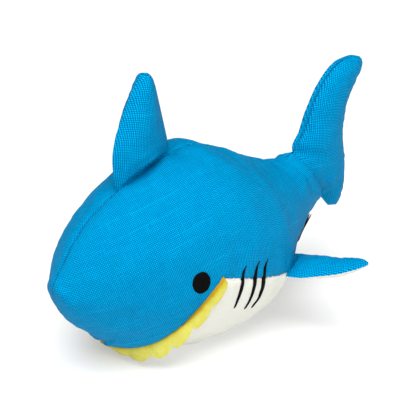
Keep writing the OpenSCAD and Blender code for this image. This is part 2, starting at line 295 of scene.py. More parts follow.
def cloth_sheet(name, outer, uv, material, away, inner=None):
    """A grid of points as a sheet of cloth with real thickness, grown inwards. The array away
    gives the outward direction at each point, or one for the whole sheet."""
    rows, cols = outer.shape[:2]
    face = np.cross(outer[1:, :-1] - outer[:-1, :-1], outer[:-1, 1:] - outer[:-1, :-1])
    flip = (face * np.broadcast_to(away, outer.shape)[:-1, :-1]).sum() < 0
    if inner is None:
        obj = make(name, outer.reshape(-1, 3), grid_faces(rows, cols, flip), material,
                   uv.reshape(-1, 2))
        solid = obj.modifiers.new("thickness", "SOLIDIFY")
        solid.thickness, solid.offset = CLOTH * MM, -1
        return obj
    faces = np.vstack([grid_faces(rows, cols, flip),
                       grid_faces(rows, cols, not flip) + rows * cols,
                       rim_faces(rows, cols, flip)])
    points = np.vstack([outer.reshape(-1, 3), inner.reshape(-1, 3)])
    return make(name, points, faces, material, np.vstack([uv.reshape(-1, 2)] * 2))


def resample(grid, i, j):
    """Reads a grid of points smoothly at fractional rows i and columns j."""
    rows = curve(grid.reshape(len(grid), -1), i).reshape(len(i), grid.shape[1], -1)
    cols = rows.swapaxes(0, 1).reshape(grid.shape[1], -1)
    return curve(cols, j).reshape(len(j), len(i), -1).swapaxes(0, 1)


def flat_pattern(p, turn=0.0, size=(52, 30)):
    """Lays a panel out flat, as its cloth was cut, so that the weave runs straight through it."""
    down, over = lengths(p, 0).mean(1), lengths(p, 1).mean(0)
    down, over = down / down[-1] * (size[0] - 1), over / over[-1] * (size[1] - 1)
    coarse = resample(p, np.interp(np.arange(size[0]), down, np.arange(len(down))),
                      np.interp(np.arange(size[1]), over, np.arange(len(over))))
    count = size[0] * size[1]
    obj = make("pattern", coarse.reshape(-1, 3), grid_faces(*size), BLUE, np.zeros((count, 2)))
    bpy.context.view_layer.objects.active = obj
    obj.select_set(True)
    bpy.ops.object.mode_set(mode="EDIT")
    bpy.ops.mesh.select_all(action="SELECT")
    bpy.ops.uv.unwrap(method="MINIMUM_STRETCH", margin=0)
    bpy.ops.object.mode_set(mode="OBJECT")
    mesh = obj.data
    corner, vertex = np.zeros(len(mesh.loops) * 2), np.zeros(len(mesh.loops), int)
    mesh.uv_layers[0].data.foreach_get("uv", corner)
    mesh.loops.foreach_get("vertex_index", vertex)
    uv = np.zeros((count, 2))
    uv[vertex] = corner.reshape(-1, 2)
    bpy.data.objects.remove(obj)
    uv = uv.reshape(*size, 2)
    stretch = lengths(coarse, 0)[-1].mean() / lengths(uv, 0)[-1].mean()
    along = np.diff(uv, axis=0)[:, size[1] // 2].sum(0)
    a = turn - math.atan2(along[1], along[0])
    uv = uv @ np.array([[math.cos(a), math.sin(a)], [-math.sin(a), math.cos(a)]]) * stretch
    return resample(uv, down, over)


# ---------------------------------------------------------------- materials
class Nodes:
    """A small helper that adds shader nodes and joins them."""

    def __init__(self, name):
        self.material = bpy.data.materials.new(name)
        self.material.use_nodes = True
        self.tree = self.material.node_tree
        self.shader = self.tree.nodes["Principled BSDF"]

    def add(self, kind, inputs=(), **settings):
        node = self.tree.nodes.new(kind)
        for key, value in settings.items():
            setattr(node, key, value)
        for key, value in dict(inputs).items():
            if isinstance(value, bpy.types.NodeSocket):
                self.tree.links.new(value, node.inputs[key])
            else:
                node.inputs[key].default_value = value
        return node

    def math(self, operation, a, b=0.0, c=0.0):
        return self.add("ShaderNodeMath", {0: a, 1: b, 2: c}, operation=operation).outputs[0]

    def set(self, **sockets):
        for key, value in sockets.items():
            self.shader.inputs[key.replace("_", " ")].default_value = value

    def noise(self, vector, scale, detail=2.0):
        return self.add("ShaderNodeTexNoise", {"Vector": vector, "Scale": scale,
                                               "Detail": detail}).outputs[0]

    def colour(self, factor, stops):
        node = self.add("ShaderNodeValToRGB", {0: factor})
        while len(node.color_ramp.elements) < len(stops):
            node.color_ramp.elements.new(0.5)
        for element, (place, colour) in zip(node.color_ramp.elements, stops):
            element.position, element.color = place, (*colour, 1)
        self.tree.links.new(node.outputs[0], self.shader.inputs["Base Color"])

    def bump(self, height, strength, distance):
        node = self.add("ShaderNodeBump", {"Height": height, "Strength": strength,
                                           "Distance": distance})
        self.tree.links.new(node.outputs[0], self.shader.inputs["Normal"])


def woven(name, dark, mid, light, tint, slub=1.0):
    """Plain weave: threads that pass over and under each other, some of them thicker."""
    n = Nodes(name)
    uv = n.add("ShaderNodeUVMap", uv_map="UVMap").outputs[0]
    axes = n.add("ShaderNodeSeparateXYZ", {0: uv}).outputs
    pitch = THREAD_PITCH * MM
    u, v = (n.math("DIVIDE", axes[k], pitch) for k in (0, 1))
    iu, iv = (n.math("FLOOR", x) for x in (u, v))
    su, sv = (n.math("ABSOLUTE", n.math("SINE", n.math("MULTIPLY", x, math.pi))) for x in (u, v))
    over = n.math("ABSOLUTE", n.math("MODULO", n.math("ADD", iu, iv), 2.0))
    warp = n.math("MULTIPLY", n.math("POWER", su, 0.6), n.math("MULTIPLY_ADD", sv, 0.5, 0.5))
    weft = n.math("MULTIPLY", n.math("POWER", sv, 0.6), n.math("MULTIPLY_ADD", su, 0.5, 0.5))
    height = n.add("ShaderNodeMix", {0: over, 2: warp, 3: weft}).outputs[0]
    tone = []
    for row, along, seed in ((iv, u, 3.7), (iu, v, 9.1)):
        place = n.add("ShaderNodeCombineXYZ", {0: n.math("MULTIPLY", along, 0.09), 1: row,
                                               2: seed}).outputs[0]
        tone.append(n.noise(place, 1.0, 1.0))
    slubs = n.add("ShaderNodeMix", {0: over, 2: tone[1], 3: tone[0]}).outputs[0]
    far = n.add("ShaderNodeCombineXYZ", {0: n.math("MULTIPLY", u, 0.02),
                                         1: n.math("MULTIPLY", iv, 3.7), 2: 5.2}).outputs[0]
    thin = n.math("MULTIPLY", n.math("SUBTRACT", n.noise(far, 1.0, 0.0), 0.72), 14.0)
    thin = n.add("ShaderNodeClamp", {0: thin}).outputs[0]
    shade = n.math("MULTIPLY_ADD", height, 0.85, n.math("MULTIPLY", slubs, 0.25 * slub))
    shade = n.math("MULTIPLY_ADD", thin, 0.06 * slub, shade)
    n.colour(shade, [(0.3, dark), (0.7, mid), (1.0, light)])
    n.bump(n.math("MULTIPLY_ADD", slubs, 0.4, height), 0.42, 0.0005)
    n.set(Roughness=0.7, Specular_IOR_Level=0.12, Specular_Tint=(*tint, 1))
    return n.material


def felt(name, deep, dark, light):
    """Pressed fibres: a fine matted surface with no direction, and painted shade that darkens it
    towards its seam under the lip.
    """
    n = Nodes(name)
    place = n.add("ShaderNodeTexCoord").outputs["Object"]
    uv = n.add("ShaderNodeUVMap", uv_map="UVMap").outputs[0]
    down = n.add("ShaderNodeSeparateXYZ", {0: uv}).outputs[1]
    # painted shade: near grows towards the seam (low v) and darkens the felt there, in place of the
    # shadow under the lip
    near = n.math("EXPONENT", n.math("MULTIPLY", down, -600.0))
    fibres = n.add("ShaderNodeTexNoise", {"Vector": place, "Scale": 1500.0, "Detail": 4.0,
                                          "Roughness": 0.7, "Distortion": 1.5}).outputs[0]
    shade = n.math("MULTIPLY_ADD", fibres, 0.6, n.math("MULTIPLY", n.noise(place, 180.0, 3.0), 0.4))
    # the deep stop of the ramp is the painted shade colour near the seam
    n.colour(n.math("MULTIPLY_ADD", near, -0.35, shade), [(0.0, deep), (0.3, dark), (0.65, light)])
    n.bump(shade, 0.7, 0.0004)
    n.set(Roughness=0.95, Specular_IOR_Level=0.1)
    return n.material


def embroidery(name, dark, light):
    """Satin stitch: bright threads side by side, running along v."""
    n = Nodes(name)
    uv = n.add("ShaderNodeUVMap", uv_map="UVMap").outputs[0]
    u = n.math("DIVIDE", n.add("ShaderNodeSeparateXYZ", {0: uv}).outputs[0], 0.00042)
    ridge = n.math("ABSOLUTE", n.math("SINE", n.math("MULTIPLY", u, math.pi)))
    place = n.add("ShaderNodeCombineXYZ", {0: n.math("FLOOR", u), 1: 0.3}).outputs[0]
    n.colour(n.math("MULTIPLY", ridge, n.noise(place, 1.0)), [(0.1, dark), (0.7, light)])
    n.bump(ridge, 0.6, 0.0002)
    n.set(Roughness=0.6, Specular_IOR_Level=0.03)
    return n.material


def thread(name, dark, light):
    """Twisted sewing thread."""
    n = Nodes(name)
    place = n.add("ShaderNodeTexCoord").outputs["Object"]
    twist = n.add("ShaderNodeTexWave", {"Vector": place, "Scale": 1400.0,
                                        "Distortion": 0.6}).outputs[1]
    n.colour(twist, [(0.2, dark), (0.8, light)])
    n.bump(twist, 0.4, 0.0001)
    n.set(Roughness=0.5, Specular_IOR_Level=0.3)
    return n.material


BLUE = woven("blue_fabric", (0.0, 0.065, 0.19), (0.0, 0.195, 0.41), (0.0, 0.44, 0.8), (0.0, 0.5, 1))
WHITE = woven("white_fabric", (0.6, 0.6, 0.53), (0.72, 0.72, 0.65), (0.79, 0.79, 0.73),
              (1, 1, 1), slub=0.7)
# the first colour is painted shade, used where the teeth go in under the lip
YELLOW = felt("yellow_felt", (0.38, 0.22, 0.01), (0.5, 0.45, 0.05), (0.66, 0.63, 0.15))
BLACK = embroidery("black_embroidery", (0.001, 0.001, 0.001), (0.006, 0.005, 0.006))
NAVY = thread("seam_thread", (0.0, 0.05, 0.17), (0.0, 0.14, 0.36))
LABEL = woven("label_fabric", (0.003, 0.003, 0.003), (0.008, 0.008, 0.009), (0.02, 0.02, 0.022),
              (1, 1, 1))


# ---------------------------------------------------------------- cloth simulation
def puff(name, p, faces, pinned, growth=0.05, pressure=3.0, frames=16, stiffness=12.0):
    """Simulates a closed skin as cloth that is a little longer than the seams that hold it,
    blown up by its filling, and returns where its points end up."""
    obj = make(name, p, faces, BLUE)
    group = obj.vertex_groups.new(name="pinned")
    group.add([int(k) for k in np.flatnonzero(pinned)], 1.0, "REPLACE")
    cloth = obj.modifiers.new("cloth", "CLOTH")
    s = cloth.settings
    s.quality, s.mass, s.air_damping = 6, 0.15, 5.0
    s.tension_stiffness = s.compression_stiffness = s.shear_stiffness = stiffness
    s.bending_stiffness = 0.25
    s.use_pressure, s.uniform_pressure_force = True, pressure
    s.vertex_group_mass = "pinned"
    s.shrink_min = -growth
    s.effector_weights.gravity = 0
    cloth.collision_settings.use_collision = False
    cloth.point_cache.frame_start, cloth.point_cache.frame_end = 1, frames
    for f in range(1, frames + 1):
        bpy.context.scene.frame_set(f)
    shape = obj.evaluated_get(bpy.context.evaluated_depsgraph_get()).to_mesh()
    out = np.zeros(len(p) * 3)
    shape.vertices.foreach_get("co", out)
    bpy.context.scene.frame_set(1)
    bpy.data.objects.remove(obj)
    return out.reshape(-1, 3) / MM


def folds(moved, p, faces, cap, passes=10):
    """The fine part of a simulated movement: what is left when its smooth part is taken away."""
    d = moved - p
    edges = np.unique(np.sort(np.vstack([faces[:, [0, 1]], faces[:, [1, 2]],
                                         faces[:, [2, 3]], faces[:, [3, 0]]]), axis=1), axis=0)
    edges = edges[edges[:, 0] != edges[:, 1]]
    count = np.bincount(edges.ravel(), minlength=len(p))[:, None]
    smooth = d.copy()
    for _ in range(passes):
        total = np.zeros_like(smooth)
        np.add.at(total, edges[:, 0], smooth[edges[:, 1]])
        np.add.at(total, edges[:, 1], smooth[edges[:, 0]])
        smooth = 0.5 * smooth + 0.5 * total / np.maximum(count, 1)
    fine = d - smooth
    size = np.linalg.norm(fine, axis=1, keepdims=True)
    return fine * np.minimum(1, cap / np.maximum(size, 1e-6))


# ---------------------------------------------------------------- trunk
SIM_ROWS, SIM_COLS = 96, 84


def trunk_folds():
    """Simulates the trunk on an even grid of stations and angles; gives the folds there."""
    t = np.linspace(0.05, LAST, SIM_ROWS)
    angle = np.arange(SIM_COLS) * 360 / SIM_COLS
    p = skin(t[:, None], angle[None, :])
    wrap = np.array([[i * SIM_COLS + SIM_COLS - 1, (i + 1) * SIM_COLS + SIM_COLS - 1,
                      (i + 1) * SIM_COLS, i * SIM_COLS] for i in range(SIM_ROWS - 1)])
    faces = np.vstack([grid_faces(SIM_ROWS, SIM_COLS), wrap])
    half = np.minimum(angle, 360 - angle)[None, :]
    step = 360 / SIM_COLS
    pinned = (np.abs(half - seam_angle(t)[:, None]) < step / 2) | (half < step / 2)
    pinned[0] = pinned[-1] = True
    flat = p.reshape(-1, 3)
    moved = puff("trunk_cloth", flat, faces, pinned.ravel())
    return 0.3 * folds(moved, flat, faces, 1.2).reshape(SIM_ROWS, SIM_COLS, 3)


def sample(field, t, angle):
    """Reads the simulated folds at any station and angle."""
    a = (np.asarray(angle) % 360) / 360 * SIM_COLS
    r = np.clip((np.asarray(t) - 0.05) / (LAST - 0.05), 0, 1) * (SIM_ROWS - 1)
    i = np.minimum(r.astype(int), SIM_ROWS - 2)
    j = a.astype(int) % SIM_COLS
    k = (j + 1) % SIM_COLS
    fr, fa = (r - i)[..., None], (a - np.floor(a))[..., None]
    top = field[i, j] * (1 - fa) + field[i, k] * fa
    return top * (1 - fr) + (field[i + 1, j] * (1 - fa) + field[i + 1, k] * fa) * fr


def seam_lines():
    """The trunk's seams as lines of points, and the station of each point of the side seam."""
    t = np.concatenate([np.linspace(0, LIP_FRONT, 30), lip_t(np.linspace(0.02, 1, 60)),
                        np.linspace(LIP_CORNER + 0.05, LAST, 60)])
    return {"back": skin(np.linspace(0, LAST, 140), 0), "side": skin(t, seam_angle(t)),
            "side_t": t, "tail": skin(LAST, np.linspace(0, 360, 90))}


def lip_share(t):
    """1 along the front of the mouth, fading to 0 at the mouth's corner and behind it."""
    return np.clip((LIP_CORNER - 0.05 - t) / 0.8, 0, 1) ** 0.7 * (t > LIP_FRONT - 0.02)


def shaped(p, normal, lines, seed):
    """Sinks the seams of the left half, and adds puckers, creases and lumps of filling."""
    d_back, s_back = to_line(p, lines["back"])
    d_side, s_side = to_line(p, lines["side"])
    d_tail, s_tail = to_line(p, lines["tail"])
    t_near = np.interp(s_side, lengths(lines["side"][:, None], 0)[:, 0], lines["side_t"])
    lip = lip_share(t_near)
    y, z = p[..., 1], p[..., 2]
    sink = np.maximum(fillet(d_back, BACK_FILLET), fillet(d_tail, TAIL_FILLET))
    # the panels stand up beside the back seam where it runs down the snout
    sink = sink - 1.0 * np.exp(-d_back / 12) * np.clip(-y / 20 - 3.5, 0, 1)
    sink = sink + fillet(d_side, SEAM_FILLET + (LIP_FILLET - SEAM_FILLET) * lip)
    sink = sink + pucker(d_back, s_back, 9, 0.22, 6, seed)
    sink = sink + pucker(d_side, s_side, 8, 0.25 * (1 - lip), 6, seed + 1)
    sink = sink + pucker(d_tail, s_tail, 11, 0.45, 9, seed + 2)
    # folds run round the trunk in front of the tail seam, here deeper and there shallower
    deep = 0.6 + 0.4 * np.sin(s_tail / 7 + seed)
    sink = sink + (1.1 * hump(d_tail, 9, 2.6) - 0.7 * hump(d_tail, 4, 3)) * deep
    sink = sink + 0.6 * hump(d_tail, 18, 3) * (1 - deep)
    sink = sink - 0.5 * wobble(p, 42, seed + 3) - 0.2 * wobble(p, 17, seed + 4)
    # the filling stands up behind the dorsal fin, with a dip between it and the tail
    top = np.clip(z / 60 - 1, 0, 1)
    sink = sink - 2.6 * hump(y, -14, 13) * top + 2.0 * hump(y, 23, 9) * top
    for deep_end, shallow_end, depth, width in CREASES:
        sink = sink + crease(p, deep_end, shallow_end, depth, width)
    # the flank is slim under the tail
    sink = sink + 1.1 * np.clip(y / 15 - 3, 0, 1) * np.clip(4 - z / 18, 0, 1)
    return p - normal * sink[..., None], lip, d_side


def tucked(p, n):
    """Adds the seam allowance: the panel's long edges turn in behind the seam."""
    first = [p[:, :1] - n[:, :1] * k for k in reversed(TUCK)]
    end = [p[:, -1:] - n[:, -1:] * k for k in TUCK]
    return np.concatenate([*first, p, *end], axis=1)


def tail_turn(p):
    """Adds rows that turn in at the tail seam and close the trunk's end behind it."""
    rows = [TAIL_MID + (p[-1:] - TAIL_MID) * k + TAIL_WAY * d
            for k, d in ((0.92, 0.4), (0.8, -0.6), (0.4, -0.8), (0.02, -0.8))]
    return np.concatenate([p, *rows], axis=0)


def pad_ends(v, step=0):
    """Goes on with the values at a panel's edges for the points that are tucked in there."""
    v = np.concatenate([v[:, :1], v[:, :1], v, v[:, -1:], v[:, -1:]], axis=1)
    return np.concatenate([v] + [v[-1:] + np.array([k, 0, 0])[:v.shape[2]] * step
                                 for k in (1, 3, 7, 13)], axis=0)


def side_panel(name, side, lines, field):
    """One blue panel, from the back seam down to the lip and the side seam."""
    t = np.concatenate([eased(46, 0.003, LIP_FRONT, 0.5)[:-1], lip_t(np.linspace(0.03, 1, 52)),
                        np.linspace(LIP_CORNER, LAST, 104)[1:]])
    angle = eased(58)[None, :] * seam_angle(t)[:, None]
    t_grid = np.broadcast_to(t[:, None], angle.shape)
    p, n = skin(t_grid, angle), skin_normal(t_grid, angle)
    n[:3] = [0, -1, 0]
    out, lip, d = shaped(p, n, lines, 11 if side > 0 else 31)
    bulge = LIP_BULGE * lip * np.exp(-(d / 16) ** 2) * (1 - np.exp(-d / 2))
    out = out + n * bulge[..., None]
    flip = np.array([side, 1, 1])
    out = out * flip + sample(field, t_grid, angle if side > 0 else 360 - angle)
    sheet, away = tail_turn(tucked(out, n * flip)), pad_ends(n * flip)
    return cloth_sheet(name, sheet, pad_ends(flat_pattern(p * flip), 1), BLUE, away)


def belly_panel(lines, field):
    """The white panel, from the lip to the tail and from one side seam to the other."""
    t = np.concatenate([lip_t(np.linspace(0.04, 1, 48)), np.linspace(LIP_CORNER, LAST, 92)[1:]])
    low = seam_angle(t)[:, None]
    angle = low + eased(62)[None, :] * (360 - 2 * low)
    t_grid = np.broadcast_to(t[:, None], angle.shape)
    p, n = skin(t_grid, angle), skin_normal(t_grid, angle)
    side = np.where(p[..., :1] >= 0, 1, [[[-1.0]]]) * [1, 0, 0] + [0, 1, 1]
    out, lip, d = shaped(p * side, n * side, lines, 51)
    recess = LIP_RECESS * lip * np.exp(-(d / 16) ** 2)
    out = out * side + sample(field, t_grid, angle) - n * recess[..., None]
    sheet = tail_turn(tucked(out, n))
    sheet[..., 2] = np.maximum(sheet[..., 2], 0.02)
    cut = pad_ends(flat_pattern(p), 1)
    return cloth_sheet("belly_panel_cloth", sheet, cut, WHITE, pad_ends(n))


lines = seam_lines()
field = trunk_folds()
trunk_cloth = {
    "side_panel_left": (side_panel("side_panel_left_cloth", 1, lines, field), "blue_fabric"),
    "side_panel_right": (side_panel("side_panel_right_cloth", -1, lines, field), "blue_fabric"),
    "belly_panel": (belly_panel(lines, field), "white_fabric"),
}
for node, (obj, slot) in trunk_cloth.items():
    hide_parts(node, "body_stuffing")
    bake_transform(obj)


def surface(objects):
    """A lookup that drops points on to the outside of finished pieces."""
    points, faces = [], []
    for obj in objects:
        start = len(points)
        points += [v.co.copy() for v in obj.data.vertices]
        faces += [[start + k for k in f.vertices] for f in obj.data.polygons]
    return BVHTree.FromPolygons(points, faces)


def drop(tree, p, n):
    """How far below (-) or above (+) each point of p the surface lies, along n."""
    out = np.zeros(p.shape[:-1])
    for k in np.ndindex(out.shape):
        hit = tree.ray_cast(Vector((p[k] + n[k] * 8) * MM), Vector(-n[k]), 16 * MM)
        out[k] = 8 - hit[3] / MM if hit[0] else 0
    return out


trunk_tree = surface([obj for obj, _ in trunk_cloth.values()])


# ---------------------------------------------------------------- fins
def fin_plane(rows, s, c):
    """A fin's middle plane, s from root to tip and c across, and its share of the thickness."""
    row = curve(rows, s * (len(rows) - 1))
    return row[..., 0:3] * (1 - c[..., None]) + row[..., 3:6] * c[..., None], row[..., 6]


def lens(c, power):
    """Thickness across a stuffed fin: 0 at both edges and 1 in the middle."""
    return np.maximum(4 * c * (1 - c), 0) ** power


def tip_close(s, start=0.93):
    """Rounds the thickness off to 0 at a fin's tip."""
    return np.sqrt(np.maximum(1 - (np.clip(s - start, 0, None) / (1 - start)) ** 2, 0))


def from_root(plane, root):
    """Distance of a fin's points from the line of its root seam."""
    return np.linalg.norm(np.cross(unit(root[1] - root[0]), plane - root[0]), axis=-1)


def dorsal_half(s, c):
    """Half of the dorsal fin's thickness, pinched at its root seam; the others are alike."""
    plane, share = fin_plane(DORSAL, s, c)
    pinch = 0.6 + 1.1 * from_root(plane, DORSAL_ROOT)
    return np.minimum(DORSAL_HALF * share * lens(c, 1.0), pinch) * tip_close(s)


def side_half(s, c):
    plane, share = fin_plane(SIDE_FIN, s, c)
    pinch = 0.8 + 1.1 * from_root(plane, SIDE_ROOT)
    return np.minimum(SIDE_HALF * share * lens(c, 0.7), pinch) * tip_close(s)


def tail_open(s):
    """How open the tail's leading edge is to the trunk: an oval, like the trunk's end."""
    low, high = TAIL_SEAM
    f = np.clip((s * (len(TAIL) - 1) - low) / (high - low), 0, 1)
    return np.maximum(1 - (2 * f - 1) ** 2, 0) ** 0.42


def tail_half(s, c):
    """Half of the tail's thickness: flat up to the topstitching, open where it is sewn on."""
    share = fin_plane(TAIL, s, c)[1]
    flat_edge = np.clip(c / TOPSTITCH, 0, 1) * TOPSTITCH
    edge = 1.3 * np.sqrt(np.clip(c / 0.02, 0, 1)) * (1 - tail_open(s))
    inside = np.maximum(c - 0.6 * flat_edge, 0) / (1 - 0.6 * TOPSTITCH)
    body = TAIL_HALF * share * lens(inside, 0.75)
    half = np.maximum(body, edge * np.minimum(1, (1 - c) * 8))
    ring = TAIL_RING * tail_open(s) * (1 - c) ** 1.6
    start = np.clip(s / 0.05, 0, 1)
    close = tip_close(s, 0.96) * np.sqrt(start * (2 - start))
    return np.sqrt(half ** 2 + ring ** 2) * close


def fin(rows, half_of, way, names, slots, seed, stuffing, turn=math.pi / 2,
        extra=None, tuck=None, grid=(64, 44)):
    """Both panels of a fin, simulated as one stuffed skin and split at the seam round it."""
    s = eased(grid[0], 0, 1, 0.35)[:, None] * np.ones(grid[1])
    c = eased(grid[1], 0, 1, 0.75)[None, :] * np.ones((grid[0], 1))
    plane, half = fin_plane(rows, s, c)[0], half_of(s, c)
    sides = [plane + k * way * half[..., None] for k in (1, -1)]
    flat = np.vstack([x.reshape(-1, 3) for x in sides])
    fold = np.zeros_like(flat)
    one = grid_faces(*grid)
    faces = np.vstack([one, one[:, ::-1] + s.size])
    edge = np.zeros(grid, bool)
    edge[0] = edge[-1] = edge[:, 0] = edge[:, -1] = True
    moved = puff(names[0] + "_sim", flat, faces, np.tile(edge.ravel(), 2), growth=0.06,
                 pressure=2.0, frames=12)
    fold = 0.5 * folds(moved, flat, faces, 1.0, passes=8)
    rim = np.vstack([plane[:, 0][::-1], plane[0], plane[:, -1], plane[-1][::-1]])
    d, place = to_line(plane, rim)
    uv = flat_pattern(plane, turn)
    for k, (name, slot) in enumerate(zip(names, slots)):
        up = way * (1 - 2 * k)
        sink = pucker(d, place, 6, 0.35, 4, seed + k) - 0.3 * wobble(sides[k], 20, seed + 5 + k)
        if extra is not None:
            sink = sink + extra(plane, s, c)
        bulge = (fold[k * s.size:(k + 1) * s.size].reshape(*grid, 3) @ up) - sink
        height = np.maximum(half + bulge * np.minimum(1, half / 2), 0.02)
        outer = plane + up * height[..., None]
        inner = plane + up * np.maximum(height - CLOTH, 0.01)[..., None]
        cut = uv
        if tuck is not None:
            outer, inner = tuck(outer, s), tuck(inner, s)
            cut = np.hstack([uv[:, :1] - [4.5, 0], uv[:, :1] - [1.8, 0], uv])
        obj = cloth_sheet(name + "_cloth", outer, cut, WHITE if slot == "white_fabric" else BLUE,
                          up, inner=inner)
        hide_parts(name, stuffing)
        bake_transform(obj)
        yield obj


def tail_tuck(p, s):
    """Adds the edge that is sewn in between the trunk's panels."""
    opening = np.minimum(tail_open(s[:, :1]) * 2, 1)[..., None]
    rows = [p[:, :1] * [k, 1, 1] - TAIL_WAY * d * opening for k, d in ((0.9, 4.5), (0.95, 1.8))]
    return np.concatenate([*rows, p], axis=1)


def tail_details(plane, s, c):
    """The groove of the topstitching, and the fold where the lower lobe hangs from the seam."""
    low, high = TOPSTITCH_ROWS
    along = np.clip((s - low) / 0.03, 0, 1) * np.clip((high + 0.02 - s) / 0.03, 0, 1)
    groove = 0.9 * along * np.exp(-((c - TOPSTITCH) / 0.02) ** 2)
    # the lobe stands back behind a slanting fold
    a, b = np.array([0, 87, 57.0]), np.array([0, 97, 79.0])
    way = unit(b - a)
    right = (plane - a) @ np.cross(way, X)
    up = np.clip((plane - a) @ way / np.linalg.norm(b - a), 0, 1)
    step = 1 / (1 + np.exp(-right / 0.8)) * np.exp(-np.clip(right, 0, None) / 14)
    fold = 3.6 * (1 - up) ** 1.2 * step
    seam = 1.0 * tail_open(s) * np.exp(-(c / 0.03) ** 2)
    rib = crease(plane, (0, 84, 68), (0, 76, 92), 0.9, 2.2)
    return groove + fold + seam + rib


list(fin(DORSAL, dorsal_half, X, ["dorsal_panel_left", "dorsal_panel_right"],
         ["blue_fabric"] * 2, 101,
         "dorsal_stuffing"))
tail = list(fin(TAIL, tail_half, X, ["tail_panel_left", "tail_panel_right"],
                ["blue_fabric"] * 2, 201, "tail_stuffing", extra=tail_details,
                tuck=tail_tuck, grid=(90, 48)))
for name, k in (("left_fin", 1), ("right_fin", -1)):
    flip = np.array([k, 1, 1])
    list(fin(SIDE_FIN * [k, 1, 1, k, 1, 1, 1], side_half, SIDE_UP * flip,
             [name + "_top_panel", name + "_bottom_panel"], ["blue_fabric", "white_fabric"],
             301, name + "_stuffing"))


# ---------------------------------------------------------------- face
def smooth_line(h, passes=9):
    """Lets stitches bridge the small hollows under them."""
    for _ in range(passes):
        wide = np.pad(h, 1, mode="edge")
        h = np.maximum(h, (wide[:-2] + wide[2:]) / 2)
    for _ in range(passes):
        wide = np.pad(h, 1, mode="edge")
        h = (wide[:-2] + h + wide[2:]) / 3
    return h


def eye(side):
    """An embroidered oval, upright on the head and domed by the threads under it."""
    p0, n0 = skin(EYE_T, EYE_ANGLE), skin_normal(EYE_T, EYE_ANGLE)
    up = unit(np.array([0, 0, 1]) - n0[2] * n0)
    across = np.cross(up, n0)
    r = np.append(np.linspace(0, 1, 12), 1)[:, None]
    a = np.linspace(0, 2 * np.pi, 49)[None, :]
    x, y = r * EYE_RADII[0] * np.cos(a), r * EYE_RADII[1] * np.sin(a)
    p = p0 + x[..., None] * across + y[..., None] * up
    height = 0.15 + 0.9 * np.sqrt(np.maximum(1 - (r * 0.98) ** 4, 0)) + 0 * a
    height = height + 0.05 * np.sin(x * 2 * np.pi / 0.84)
    height[-1] = -0.5
    flip = np.array([side, 1, 1])
    n = np.broadcast_to(n0, p.shape) * flip
    p = p * flip
    p = p + n * (drop(trunk_tree, p, n) + height)[..., None]
    name = "eye_left" if side > 0 else "eye_right"
    obj = make(name + "_stitched", p.reshape(-1, 3), grid_faces(13, 49, flip=side > 0), BLACK,
               np.stack([x, y], -1).reshape(-1, 2))
    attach(obj, "trunk")
    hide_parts(name)


def gills(side):
    """Three satin-stitched strokes, widest in the middle and drawn out at both ends."""
    rows, cols = 56, 9
    f = np.linspace(0, 1, rows)[:, None]
    c = np.linspace(-1, 1, cols)[None, :]
    points, faces, uv = [], [], []
    for k, (t0, a0, da) in enumerate(GILLS):
        half = GILL_HALF * np.interp(f, [0, 0.12, 0.4, 0.75, 0.97, 1],
                                     [0.25, 0.6, 1, 0.75, 0.6, 0.3])
        half = half * (1 + 0.07 * np.sin(f * 150 + k))
        way = 0.1 * (1 - np.exp(-8 * f)) + 0.03 * f ** 2 - 0.035 * np.sin(np.pi * f)
        t = t0 - way + c * half / 34
        angle = a0 + da * f + 0 * c
        base, n = skin(t, angle), skin_normal(t, angle)
        flip = np.array([side, 1, 1])
        base, n = base * flip, n * flip
        height = 0.1 + 0.55 * np.sqrt(1 - (c * 0.96) ** 2) * half + 0.05 * np.sin(f * 190)
        height = height + smooth_line(drop(trunk_tree, base[:, 4], n[:, 4]))[:, None]
        height[:, 0] -= 0.6
        height[:, -1] -= 0.6
        points.append((base + n * height[..., None]).reshape(-1, 3))
        faces.append(grid_faces(rows, cols, flip=side < 0) + k * rows * cols)
        uv.append(np.stack([f * 32 + 0 * c, c * half], -1).reshape(-1, 2))
    name = "gill_stitches_left" if side > 0 else "gill_stitches_right"
    obj = make(name + "_thread", np.vstack(points), np.vstack(faces), BLACK, np.vstack(uv))
    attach(obj, "trunk")
    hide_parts(name)


